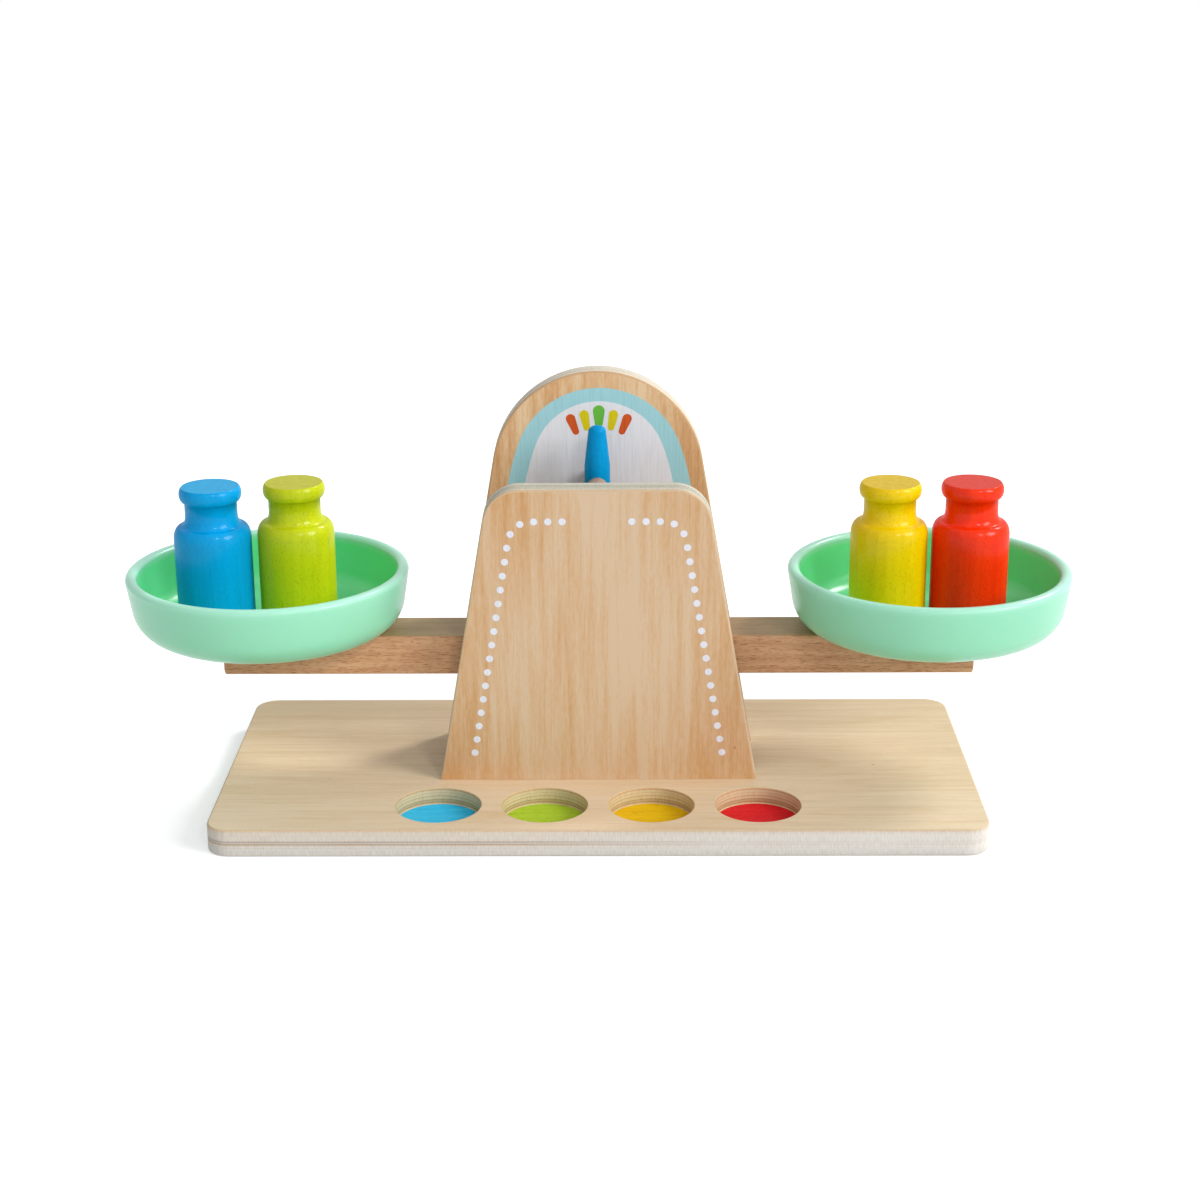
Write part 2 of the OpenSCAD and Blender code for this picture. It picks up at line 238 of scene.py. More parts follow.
def piece(name, patches, body, replaced=(), smooth=True):
    """One closed mesh from grids in millimetres. patches are (grid, finish) pairs, and a grid has rows, columns
    and xyz. Each cell of a grid becomes a quad between four neighbouring points. The piece rides on its body
    and takes the place of the replaced CAD nodes."""
    finishes = list(dict.fromkeys(finish for _, finish in patches))
    points, quads, looks, start = [], [], [], 0
    for grid, finish in patches:
        rows, columns = grid.shape[:2]
        index = start + np.arange(rows * columns).reshape(rows, columns)
        cells = np.stack([index[:-1, :-1], index[:-1, 1:], index[1:, 1:], index[1:, :-1]], -1).reshape(-1, 4)
        points.append(grid.reshape(-1, 3) * MM)
        quads.append(cells)
        looks.append(np.full(len(cells), finishes.index(finish)))
        start += rows * columns
    mesh = bpy.data.meshes.new(name)
    mesh.from_pydata(np.concatenate(points).tolist(), [], np.concatenate(quads).tolist())
    mesh.polygons.foreach_set("material_index", np.concatenate(looks))
    skin = bmesh.new()
    skin.from_mesh(mesh)
    bmesh.ops.remove_doubles(skin, verts=skin.verts, dist=SAME_POINT)
    bmesh.ops.recalc_face_normals(skin, faces=skin.faces)
    open_edges = sum(not edge.is_manifold for edge in skin.edges)
    skin.to_mesh(mesh)
    skin.free()
    mesh.polygons.foreach_set("use_smooth", np.full(len(mesh.polygons), smooth))
    for finish in finishes:
        mesh.materials.append(finish)
    made = placed(name, mesh)
    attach(made, body)
    if replaced:
        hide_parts(*replaced)
    print(f"{name}: {len(mesh.polygons)} faces, {open_edges} open edges")


# %% [markdown]
# ## Outlines and plates
# Board, panels and beam were sawn, drilled and then had their sharp arrises rubbed down by about a
# millimetre. Seen along their thickness they are outlines whose corners are arcs. An outline is kept with
# its outward directions, so the rubbed arris is the outline drawn in along them while the level changes.

# %% Outlines, arrises and faces


def arc(centre, radii, first, last, steps=12):
    """Points on an arc: centre + radii * (cos, sin), from one angle in degrees to another. An ellipse has
    two radii."""
    angle = np.radians(np.linspace(first, last, steps + 1))
    return np.array(centre) + np.array(radii) * np.stack([np.cos(angle), np.sin(angle)], -1)


def outline(corners, runs):
    """A closed outline, counter-clockwise, as points and outward normals; the first point comes again last.
    A corner is (centre, radius, first and last angle, steps): point = centre + radius * (cos, sin), and the
    normal there is (cos, sin). A straight run of so many steps leads from each corner to the next."""
    arcs = []
    for centre, radius, first, last, steps in corners:
        ray = arc((0, 0), 1, first, last, steps)
        arcs.append((np.array(centre) + radius * ray, ray))
    points, normals = [], []
    for i, steps in enumerate(runs):
        (here, ray), (there, _) = arcs[i], arcs[(i + 1) % len(arcs)]
        share = np.linspace(0, 1, steps + 1)[1:-1, None]
        points += [here, here[-1] * (1 - share) + there[0] * share]
        normals += [ray, np.repeat(ray[-1:], steps - 1, 0)]
    return np.concatenate(points + [arcs[0][0][:1]]), np.concatenate(normals + [arcs[0][1][:1]])


def box_outline(low, high, radius, steps, counts):
    """A rectangle with four round corners, from its lower left one; counts are the steps along x and y."""
    (x0, y0), (x1, y1) = np.array(low) + radius, np.array(high) - radius
    corners = [((x0, y0), radius, 180, 270, steps), ((x1, y0), radius, 270, 360, steps),
               ((x1, y1), radius, 0, 90, steps), ((x0, y1), radius, 90, 180, steps)]
    return outline(corners, counts * 2)


def edge_band(points, normals, low, high, radius, steps=5):
    """The edge of a plate from its low face to its high one. For a turn t from -90 to 90 degrees the outline
    is drawn in by radius * (1 - cos t), at low + radius * (1 + sin t), then at high - radius * (1 - sin t)."""
    turn = np.radians([*np.linspace(-90, 0, steps + 1), *np.linspace(0, 90, steps + 1)])[:, None]
    lower = (np.arange(len(turn)) <= steps)[:, None]
    level = np.where(lower, low + radius * (1 + np.sin(turn)), high - radius * (1 - np.sin(turn)))
    drawn = points - (radius * (1 - np.cos(turn)))[..., None] * normals
    return np.concatenate([drawn, np.broadcast_to(level, drawn.shape[:2])[..., None]], -1)


def between(ring, goal, shares=(0, 1)):
    """A surface from a ring to another ring or to a point: ring + share * (goal - ring), one row a share."""
    return ring + np.array(shares)[:, None, None] * (np.array(goal) - ring)


def at_level(points, level):
    """Flat points lifted to a level."""
    return np.concatenate([points, np.full((len(points), 1), float(level))], -1)


# The rings from a cell's border to its bore, as shares of the way
CELL_RINGS = (0, 0.5, 0.95, 1)


def drilled_cell(low, high, counts, centre, level, bore, finishes):
    """A rectangle of a flat face round a bore, and the finishes of face and bore. bore lists (radius, height)
    from the mouth inwards: the ring of the rectangle runs to the mouth's circle, and the others follow."""
    ring, _ = box_outline(low, high, 0, 0, counts)
    steps = 2 * sum(counts)
    start = -90 - 90 * counts[0] / sum(counts)
    walls = np.stack([at_level(arc(centre, radius, start, start + 360, steps), z) for radius, z in bore])
    mouth = at_level(walls[0, :, :2], level)
    return list(zip((between(at_level(ring, level), mouth, CELL_RINGS), walls), finishes))


def stood_up(grid):
    """Stands a plate up that was worked out lying down: its y becomes height and its level depth."""
    return grid[..., [0, 2, 1]]


print("a quarter circle in two steps:", arc((0, 0), 1, 0, 90, 2).round(2).tolist())

# %% [markdown]
# ## Wood under clear lacquer
# The board and the panels are faced with a pale rotary-cut veneer, sanded and given a thin matt lacquer.
# Such a face is calm: its tone drifts slowly between cream and peach, with fine streaks, short flecks where
# the rays catch the light, and here and there a few faint growth lines. All are noise that is stretched along
# the grain, so one sum of noises drives the tone. A growth line is where a smooth noise passes a whole
# number, as a knife cuts through real rings. The pattern reads Object coordinates, so it stays on the piece
# when the piece swings.

# %% The veneer finish


def stretched(axis, long_mm, wide_mm):
    """Mapping scale for a pattern whose cells are long_mm along the grain's axis and wide_mm across it."""
    size = [wide_mm] * 3
    size[axis] = long_mm
    return [1 / (MM * s) for s in size]


def mottle(tree, place, axis, size_mm, detail, roughness=0.5):
    """Noise in cells of real size: size_mm gives their length along the grain's axis and their width."""
    drawn = add(tree, "ShaderNodeMapping", {0: place, "Scale": stretched(axis, *size_mm)})
    return add(tree, "ShaderNodeTexNoise",
               {"Vector": drawn, "Scale": 1.0, "Detail": detail, "Roughness": roughness})


def shifted_by(tree, place, seed):
    """The place moved by the seed times (1, 0.7, 1.3), so no two pieces are alike."""
    return add(tree, "ShaderNodeVectorMath", {0: place, 1: (seed, seed * 0.7, seed * 1.3)}, operation="ADD")


# Length and width in mm, detail and weight of slow drift, streaks, ray flecks and fibres. Real fibres are
# 0.03 mm thick; 0.5 mm is the finest that shows in the render
GRAIN = (((150, 30), 2.0, 0.32), ((80, 3.6), 3.0, 0.34), ((4, 1.0), 2.0, 0.15), ((14, 0.5), 3.0, 0.19))
# The sum of the noises at which the pale, the middle and the deep tone lie
TONE_LEVELS = (0.41, 0.5, 0.59)
# Growth lines come up while the drift rises from the one level to the other
LINED_FROM, LINED_TO = 0.42, 0.62
# Specks sit in cells of this size, fade out between these shares of a cell, and keep to 3 cells in 100
SPECK_MM, SPECK_CORE, SPECK_EDGE, SPECK_RARE = (9, 6), 0.04, 0.1, 0.97


def veneer(name, tones, axis, figure_mm, line_count, line_tone, speck_tone, seed, deepen=()):
    """Sanded veneer under matt lacquer. tones are three hex codes from pale to deep. figure_mm is the length
    and width of the smooth noise whose levels give line_count growth lines. seed shifts the pattern.
    deepen lists (axis, from mm, to mm, how much): the tone deepens by so much between two distances from
    the middle along that axis or, with a from below 0, between two places on it."""
    made, tree, place = new_finish(name)
    shifted = shifted_by(tree, place, seed)
    noises = [mottle(tree, shifted, axis, size_mm, detail, 0.6) for size_mm, detail, _ in GRAIN]
    drift, total = noises[0], 0.0
    for noise, (_, _, weight) in zip(noises, GRAIN):
        total = add(tree, "ShaderNodeMath", {0: noise, 1: weight, 2: total}, operation="MULTIPLY_ADD")
    parts = add(tree, "ShaderNodeSeparateXYZ", {0: place})
    for way, near, far, amount in deepen:
        apart = parts.outputs[way]
        if near >= 0:
            apart = add(tree, "ShaderNodeMath", {0: apart}, operation="ABSOLUTE")
        more = add(tree, "ShaderNodeMapRange",
                   {0: apart, 1: near * MM, 2: far * MM, 3: -amount / 2, 4: amount / 2})
        total = add(tree, "ShaderNodeMath", {0: total, 1: more}, operation="ADD")
    tone = add(tree, "ShaderNodeValToRGB", {0: total}, list(zip(TONE_LEVELS, tones)))
    # Growth lines: each level of a smooth noise darkens slowly and ends sharply, as latewood does
    smooth = mottle(tree, shifted, axis, figure_mm, 1.0, 0.3)
    level = add(tree, "ShaderNodeMath", {0: smooth, 1: line_count}, operation="MULTIPLY")
    ring = add(tree, "ShaderNodeMath", {0: level}, operation="FRACT")
    line = add(tree, "ShaderNodeValToRGB", {0: ring},
               [(0, "#000000"), (0.6, "#202020"), (0.88, "#FFFFFF"), (1, "#000000")])
    where = add(tree, "ShaderNodeMapRange", {0: drift, 1: LINED_FROM, 2: LINED_TO})
    shown = add(tree, "ShaderNodeMath", {0: line, 1: where}, operation="MULTIPLY")
    lined = add(tree, "ShaderNodeMix", {0: shown, 6: tone, 7: colour(line_tone)},
                data_type="RGBA", blend_type="MULTIPLY")
    # Small dark specks, a handful on a panel
    spots = add(tree, "ShaderNodeMapping", {0: shifted, "Scale": stretched(axis, *SPECK_MM)})
    cell = add(tree, "ShaderNodeTexVoronoi", {"Vector": spots, "Scale": 1.0})
    near = add(tree, "ShaderNodeMapRange",
               {0: cell.outputs["Distance"], 1: SPECK_CORE, 2: SPECK_EDGE, 3: 0.7, 4: 0.0})
    rare = add(tree, "ShaderNodeSeparateColor", {0: cell.outputs["Color"]})
    some = add(tree, "ShaderNodeMath", {0: rare, 1: SPECK_RARE}, operation="GREATER_THAN")
    speck = add(tree, "ShaderNodeMath", {0: near, 1: some}, operation="MULTIPLY")
    specked = add(tree, "ShaderNodeMix", {0: speck, 6: lined.outputs[2], 7: colour(speck_tone)},
                  data_type="RGBA")
    bump = add(tree, "ShaderNodeBump", {"Strength": 0.12, "Distance": 0.05 * MM, "Height": total})
    skin = add(tree, "ShaderNodeBsdfPrincipled",
               {"Base Color": specked.outputs[2], "Roughness": 0.5, "IOR": 1.5, "Specular IOR Level": 0.3,
                "Normal": bump})
    add(tree, "ShaderNodeOutputMaterial", {"Surface": skin})
    return made


# The board's tone deepens from its front to its back: painted light at the front and painted shade at the back,
# behind the tower and under the bowls
board_face = veneer("birch_veneer_board", ("#ECD5B5", "#E5CBA8", "#DDC29D"), 0, (240, 34), 9,
                    "#FAF4EA", "#A07848", 4.3, [(1, -65, 65, 0.14)])
# The front panel's veneer is palest up the middle, peach at its sides and golden at its foot
front_face = veneer("birch_veneer_front", ("#D7BC9B", "#D3AE85", "#CB9C68"), 2, (190, 16), 7,
                    "#FAF0E4", "#A87444", 7.7, [(0, 8, 46, 0.08), (2, 15, 60, -0.04), (2, 80, 135, 0.04)])
rear_face = veneer("birch_veneer_rear", ("#E4C69E", "#D9AD7D", "#C89562"), 2, (190, 26), 9,
                   "#F6EADA", "#8A5A30", 11.3, [(0, 10, 42, 0.08)])

# %% [markdown]
# ## Sawn plywood edges
# Where plywood is sawn it shows its plies: sheets of veneer glued with their grain crossed, so one shows
# pale smooth fibres and the next its darker pores, with a thin glue line between them. The finish reads how
# far through the thickness a point lies and looks up its ply in a colour ramp. A little noise makes the
# plies waver as real veneer does. In patches a second ramp without the lines takes over. Along the board's
# front edge it takes over towards the right end, in a paler tone: painted light from the right.

# %% The edge finish
# The face ply's share of the thickness, and the share by which the plies waver, about 0.1 mm
FACE_PLY, WAVER = 0.08, 0.02
# How far the lines fade into the pale tone at the painted lit end, and how much that varies from place to place
LIT_END_FADE, PATCHY = 0.65, 0.4


def ply_edge(name, node, axis, plies, along, pale, lit_end_mm=(900, 1000)):
    """The sawn edge of a node's plate. axis is the way through the thickness, plies are (place, hex code) from
    its low face to its high one, and along is the axis that the edge mostly follows. pale is the tone without
    lines, and lit_end_mm is the stretch in mm over which the lines fade into it: painted light at that end."""
    low, high = box_mm(node)[:, axis] * MM
    made, tree, place = new_finish(name)
    parts = add(tree, "ShaderNodeSeparateXYZ", {0: place})
    through = add(tree, "ShaderNodeMapRange", {0: parts.outputs[axis], 1: low, 2: high})
    # The plies waver over a few centimetres
    waver = mottle(tree, place, along, (25, 8), 2.0)
    moved = add(tree, "ShaderNodeMath", {0: waver, 1: WAVER, 2: through}, operation="MULTIPLY_ADD")
    moved = add(tree, "ShaderNodeMath", {0: moved, 1: WAVER / 2}, operation="SUBTRACT")
    ply = add(tree, "ShaderNodeValToRGB", {0: moved}, plies)
    faint = [(share, code if min(share, 1 - share) < FACE_PLY else pale) for share, code in plies]
    plain = add(tree, "ShaderNodeValToRGB", {0: moved}, faint)
    fade = add(tree, "ShaderNodeMapRange",
               {0: parts.outputs[along], 1: lit_end_mm[0] * MM, 2: lit_end_mm[1] * MM, 3: 0.0, 4: LIT_END_FADE})
    fade = add(tree, "ShaderNodeMath", {0: waver, 1: PATCHY, 2: fade}, operation="MULTIPLY_ADD")
    patchy = add(tree, "ShaderNodeMix", {0: fade, 6: ply, 7: plain}, data_type="RGBA")
    # Sawn fibre ends, drawn 0.5 mm wide so that they show
    ends = mottle(tree, place, axis, (3, 0.5), 3.0, 0.65)
    shade = add(tree, "ShaderNodeValToRGB", {0: ends}, [(0.3, "#EDEAE6"), (0.6, "#FFFFFF")])
    worn = add(tree, "ShaderNodeMix", {0: 1.0, 6: patchy.outputs[2], 7: shade},
               data_type="RGBA", blend_type="MULTIPLY")
    bump = add(tree, "ShaderNodeBump", {"Strength": 0.25, "Distance": 0.08 * MM, "Height": ends})
    skin = add(tree, "ShaderNodeBsdfPrincipled",
               {"Base Color": worn.outputs[2], "Roughness": 0.62, "IOR": 1.5, "Specular IOR Level": 0.25,
                "Normal": bump})
    add(tree, "ShaderNodeOutputMaterial", {"Surface": skin})
    return made


# Real glue lines are 0.1 mm thick; drawn here 0.5 mm wide, the least that shows in the render
BOARD_PLIES = [(0, "#D0C2B0"), (0.06, "#D8D4CB"), (0.3, "#DAD6CE"), (0.32, "#D2C1AD"), (0.34, "#DAD6CE"),
               (0.4, "#DAD0C2"), (0.42, "#D8AE86"), (0.435, "#CCBAA8"), (0.455, "#AA9583"), (0.48, "#B29E8E"),
               (0.5, "#D0C4B6"), (0.53, "#CABDAE"), (0.55, "#A08C80"), (0.575, "#BAA898"), (0.59, "#D8CDBF"),
               (0.76, "#DCD2C4"), (0.78, "#D4C2AC"), (0.8, "#DCD2C4"), (0.93, "#DBD0C0"), (0.95, "#D8BA9A"),
               (1, "#DEC8A6")]
# The socket walls are darker and warmer than the board's edge: painted shade in the sockets and painted light
# bounced off the wood
BORE_PLIES_SHADED = [(0, "#D4C098"), (0.4, "#D6C29A"), (0.42, "#D0AA78"), (0.45, "#987855"), (0.48, "#C0A67C"),
              (0.53, "#C2AA7F"), (0.55, "#8E7250"), (0.58, "#D0BD92"), (0.66, "#D6C49B"), (0.69, "#B4946A"),
              (0.72, "#D8C69F"), (0.79, "#D9C7A0"), (0.81, "#C2A57A"), (0.83, "#D9C7A0"), (0.91, "#DAC8A1"),
              (0.93, "#C89E6F"), (1, "#DEC79E")]
FRONT_PLIES = [(0, "#D6BC98"), (0.07, "#CBAA8A"), (0.09, "#D2CFC1"), (0.2, "#CBC9BB"), (0.24, "#8F8468"),
               (0.29, "#C5C3B2"), (0.38, "#C1BFAE"), (0.42, "#8D8166"), (0.47, "#B9B6A2"), (0.58, "#BCBAA5"),
               (0.62, "#8A7D60"), (0.67, "#C8C6B4"), (0.91, "#CECBBD"), (0.93, "#C6AA88"), (1, "#D6BC98")]
REAR_PLIES = [(0, "#CFA980"), (0.07, "#C9A47E"), (0.09, "#DCD5C5"), (0.3, "#DCD5C4"), (0.32, "#BAA282"),
              (0.34, "#D4C9B1"), (0.46, "#D4CAB4"), (0.48, "#B49A7A"), (0.5, "#DCD5C4"), (0.66, "#DBD4C2"),
              (0.68, "#BCA484"), (0.7, "#DCD5C4"), (0.91, "#DCD5C5"), (0.93, "#C5A47E"), (1, "#CFA980")]
# Towards the right end of the board's edge the lines fade into a paler plain tone: painted light from the right
board_edge = ply_edge("sawn_ply_board", "base_board", 2, BOARD_PLIES, 0, "#E4DFD7", (-30, 60))
socket_bore_shaded = ply_edge("bored_ply_sockets_painted_shade", "base_board", 2, BORE_PLIES_SHADED, 0, "#D4C098")
front_edge = ply_edge("sawn_ply_front", "front_panel", 1, FRONT_PLIES, 2, "#CAC7B8")
rear_edge = ply_edge("sawn_ply_rear", "rear_panel", 1, REAR_PLIES, 2, "#DCD5C4")

# %% [markdown]
# ## The board
# The board is one sheet of plywood with round corners and four sockets bored to the same depth. Each
# socket sits in the middle of a square cell: the grid runs from the square to the bore's circle and on down
# its wall. The four cells lie side by side, and one more grid fills the rest of the face out to the arris.
# The underside has cells for the four screws that hold the panels.

# %% Board: sizes and edge
ARRIS = 0.8
BOARD_CORNER_R = 10
SOCKET_PITCH = 44.3
SOCKET_R = 17.85
SOCKET_MOUTH = 0.3
DISC_POCKET_R = 17.5
BOARD_LOW, BOARD_HIGH = box_mm("base_board")
DISC_LOW, DISC_HIGH = box_mm("disc_blue")
SOCKET_Y = (DISC_LOW[1] + DISC_HIGH[1]) / 2
SCREW_X = 46
HEAD_R, SHANK_R, HEAD_H = 4.05, 2.05, 2.0
PANEL_MID_Y = [box_mm(node)[:, 1].mean() for node in ("front_panel", "rear_panel")]
# Steps round a corner and along x and y, and the rings between the arris and the cells
CORNER_STEPS, BOARD_STEPS = 10, (96, 24)
QUILT_RINGS = (0, 0.01, 0.3, 1)

points, normals = box_outline(BOARD_LOW[:2], BOARD_HIGH[:2], BOARD_CORNER_R, CORNER_STEPS, BOARD_STEPS)
band = edge_band(points, normals, BOARD_LOW[2], BOARD_HIGH[2], ARRIS)
patches = [(band, board_edge)]
print("board edge grid:", band.shape)

# %% Board: face and sockets
SOCKET_STEPS = (BOARD_STEPS[0] // 4, BOARD_STEPS[1])
# A ring so far over a socket's floor keeps its wall evenly shaded
WALL_RING = 0.3

top_z, floor_z = BOARD_HIGH[2], DISC_HIGH[2]
turn = np.radians(np.linspace(90, 0, 4))
mouth = [(SOCKET_R + SOCKET_MOUTH * (1 - np.cos(t)), top_z - SOCKET_MOUTH * (1 - np.sin(t))) for t in turn]
bore = mouth + [(SOCKET_R, floor_z + WALL_RING), (SOCKET_R, floor_z), (DISC_POCKET_R, floor_z),
                (DISC_POCKET_R, DISC_LOW[2]), (0, DISC_LOW[2])]
half = SOCKET_PITCH / 2
for disc in ("disc_blue", "disc_green", "disc_yellow", "disc_red"):
    low, high = box_mm(disc)
    x = (low[0] + high[0]) / 2
    patches += drilled_cell((x - half, SOCKET_Y - half), (x + half, SOCKET_Y + half), SOCKET_STEPS,
                            (x, SOCKET_Y), top_z, bore, (board_face, socket_bore_shaded))
quilt, _ = box_outline((-4 * half, SOCKET_Y - half), (4 * half, SOCKET_Y + half), 0, CORNER_STEPS, BOARD_STEPS)
patches.append((between(band[-1], at_level(quilt, top_z), QUILT_RINGS), board_face))
print("sockets are", round(top_z - floor_z, 2), "mm deep")

# %% Board: underside and screw holes
SCREW_STEPS = (BOARD_STEPS[0] // 2, BOARD_STEPS[1] // 2)

sink = [(HEAD_R, 0), (SHANK_R, HEAD_H), (0, HEAD_H)]
middle = sum(PANEL_MID_Y) / 2
reach = (PANEL_MID_Y[1] - PANEL_MID_Y[0]) / 2
for x in (-SCREW_X, SCREW_X):
    for y in PANEL_MID_Y:
        patches += drilled_cell((x - SCREW_X, y - reach), (x + SCREW_X, y + reach), SCREW_STEPS,
                                (x, y), 0, sink, (board_face, board_edge))
quilt, _ = box_outline((-2 * SCREW_X, middle - 2 * reach), (2 * SCREW_X, middle + 2 * reach), 0,
                       CORNER_STEPS, BOARD_STEPS)
patches.append((between(band[0], at_level(quilt, 0), QUILT_RINGS), board_face))
piece("board_ply", patches, "stand", ["base_board"])

# %% [markdown]
# ## The two panels
# Both panels have sides that lean in by ten degrees. The front one ends in a flat top with round corners,
# the rear one in an arch into which the sides run without a kink. The axle's blind hole is on their inner
# faces. An inner face is its outline drawn in to the hole, an outer one is drawn in to its middle, for from
# there every point of the outline can be seen.

# %% Panels
FOOT_W, TOP_W, FRONT_H = 134.8, 90.2, 128.1
FRONT_CORNER_R = 15.5
ARCH_R = 45.3
FOOT_CORNER_R = 0.8
FOOT_ARRIS = 0.12
AXLE_Z = 134.6
AXLE_R = 2.05
AXLE_SEAT = 8
board_top = BOARD_HIGH[2]
lean = np.arctan((FOOT_W - TOP_W) / 2 / FRONT_H)
lean_deg = np.degrees(lean)


def side_x(z):
    """Half width of a panel between its straight sides at a height over the board."""
    return FOOT_W / 2 - z * np.tan(lean)


foot_x = side_x(FOOT_CORNER_R) - FOOT_CORNER_R / np.cos(lean)
foot_z = board_top + FOOT_CORNER_R
right_foot = ((foot_x, foot_z), FOOT_CORNER_R, -90, lean_deg, 4)
left_foot = ((-foot_x, foot_z), FOOT_CORNER_R, 180 - lean_deg, 270, 4)
corner_z = FRONT_H - FRONT_CORNER_R
corner_x = side_x(corner_z) - FRONT_CORNER_R / np.cos(lean)
front_shape = outline([right_foot,
                       ((corner_x, board_top + corner_z), FRONT_CORNER_R, lean_deg, 90, 20),
                       ((-corner_x, board_top + corner_z), FRONT_CORNER_R, 90, 180 - lean_deg, 20),
                       left_foot], (40, 20, 40, 40))
arch_z = board_top + (FOOT_W / 2 * np.cos(lean) - ARCH_R) / np.sin(lean)
rear_shape = outline([right_foot, ((0, arch_z), ARCH_R, lean_deg, 180 - lean_deg, 72), left_foot], (40, 40, 40))


def panel(side, shape, inner, face, edge):
    """The front or rear panel, a standing plate. The axle's blind hole is in its low (0) or high (1) face."""
    points, normals = shape
    low, high = levels = box_mm(side + "_panel")[:, 1]
    # The foot stays sharp, so that it meets the board in a thin dark line
    arris = np.where(points[:, 1] < board_top + 2 * FOOT_CORNER_R, FOOT_ARRIS, ARRIS)
    band = edge_band(points, normals, low, high, arris[None, :])
    hole = np.array([0.0, AXLE_Z])
    ray = points - hole
    ray /= np.linalg.norm(ray, axis=1)[:, None]
    deep = levels[inner] + AXLE_SEAT * (1 - 2 * inner)
    inside, outer = band[-inner], band[inner - 1]
    mouth, bottom = (at_level(hole + AXLE_R * ray, level) for level in (levels[inner], deep))
    shares = (0, 0.008, 0.2, 0.5, 0.8, 1)
    middle = np.array([0, board_top + FRONT_H / 2, outer[0, 2]])
    patches = [(band, edge), (between(outer, middle, shares), face), (between(inside, mouth, shares), face),
               (between(mouth, bottom), edge), (between(bottom, (*hole, deep)), edge)]
    piece(side + "_panel_ply", [(stood_up(grid), finish) for grid, finish in patches], "stand",
          [side + "_panel"])


panel("front", front_shape, 1, front_face, front_edge)
panel("rear", rear_shape, 0, rear_face, rear_edge)

# %% [markdown]
# ## Printed dial and dots
# The dial is screen printed on the rear panel: a teal arch, a white field in it and five rounded marks, the
# green one in the middle for balance. The front panel has a row of white dots along its edge. A printed film
# is a few hundredths of a millimetre thick, so each colour is a very thin plate. Printing leaves the wood's
# pores open, and the finish lets the grain show through a little.

# %% Ink finish


def ink(name, code, through):
    """Screen-printed ink. through is the tone that shows where the panel's upright grain carries less ink."""
    made, tree, place = new_finish(name)
    pores = mottle(tree, place, 2, (14, 0.7), 4.0, 0.65)
    tone = add(tree, "ShaderNodeValToRGB", {0: pores}, [(0.3, through), (0.55, code)])
    bump = add(tree, "ShaderNodeBump", {"Strength": 0.1, "Distance": 0.03 * MM, "Height": pores})
    skin = add(tree, "ShaderNodeBsdfPrincipled",
               {"Base Color": tone, "Roughness": 0.5, "IOR": 1.5, "Specular IOR Level": 0.2, "Normal": bump})
    add(tree, "ShaderNodeOutputMaterial", {"Surface": skin})
    return made


INKS = {name: ink(name + "_screen_ink", code, through) for name, code, through in (
    ("teal", "#A2D2D8", "#98C8CE"), ("white", "#E6E6EA", "#DCDADB"), ("green", "#6ABB40", "#5FAB38"),
    ("yellow", "#DBC90A", "#CDBB10"), ("orange", "#D2561E", "#C24C18"), ("dot", "#E6E8F0", "#D8DAE2"))}

# %% Printed sheets
DIAL_FOOT_Z = 122
BAND_R, BAND_TOP = 36.4, 172.8
FIELD_R, FIELD_TOP = 28.75, 167.0
# The sides leave the arch at this angle in a flatter arc and run straight from this lean on
DIAL_TURN, SIDE_R, DIAL_LEAN = 20.5, 100, 11.5
INK, SUNK = 0.05, 0.02
# The print lies a little right of the panel's middle
DIAL_X = 0.6


def film(points, face_y, layer, tone):
    """A thin plate of ink on a panel's face: its back lies SUNK deep in the wood, its front layer * INK before
    the face, and each is drawn in to its own middle."""
    back, front = at_level(points, face_y + SUNK), at_level(points, face_y - INK * layer)
    return [(stood_up(between(ring, goal)), INKS[tone])
            for ring, goal in ((back, front), (front, front[:-1].mean(0)), (back, back[:-1].mean(0)))]


def dial_shape(radius, top_z):
    """An arch that runs over into flatter arcs at its sides: their centre is the arch's own, moved back by
    (SIDE_R - radius) along the direction in which they meet. From DIAL_LEAN on the sides are straight."""
    middle = np.array([DIAL_X, top_z - radius])
    meet, lean = np.radians([DIAL_TURN, DIAL_LEAN])
    back = (SIDE_R - radius) * np.array([np.cos(meet), np.sin(meet)])
    right, left = middle - back, middle - back * (-1, 1)
    end = right + SIDE_R * np.array([np.cos(lean), np.sin(lean)])
    foot = end[0] - DIAL_X + (end[1] - DIAL_FOOT_Z) * np.tan(lean)
    return outline([((DIAL_X + foot, DIAL_FOOT_Z), 0, -90, DIAL_LEAN, 2),
                    (right, SIDE_R, DIAL_LEAN, DIAL_TURN, 6),
                    # 2 degrees on, so that the run from the flatter arc has a length
                    (middle, radius, DIAL_TURN + 2, 178 - DIAL_TURN, 64),
                    (left, SIDE_R, 180 - DIAL_TURN, 180 - DIAL_LEAN, 6),
                    ((DIAL_X - foot, DIAL_FOOT_Z), 0, 180 - DIAL_LEAN, 270, 2)], (8, 1, 1, 8, 8))[0]


def wedge(top, top_r, low, low_r):
    """A mark that tapers downwards: arcs round two centres, joined by the straight lines that touch both."""
    way = np.array(top) - np.array(low)
    heading = np.degrees(np.arctan2(way[1], way[0]))
    flare = np.degrees(np.arcsin((top_r - low_r) / np.linalg.norm(way)))
    return outline([(top, top_r, heading - 90 - flare, heading + 90 + flare, 14),
                    (low, low_r, heading + 90 + flare, heading + 270 - flare, 14)], (4, 4))[0]


dial_y, front_y = box_mm("rear_panel")[0, 1], box_mm("front_panel")[0, 1]
for name, shape, layer, tone in (("dial_band", dial_shape(BAND_R, BAND_TOP), 1, "teal"),
                                 ("dial_field", dial_shape(FIELD_R, FIELD_TOP), 2, "white")):
    piece(name, film(shape, dial_y, layer, tone), "stand", smooth=False)

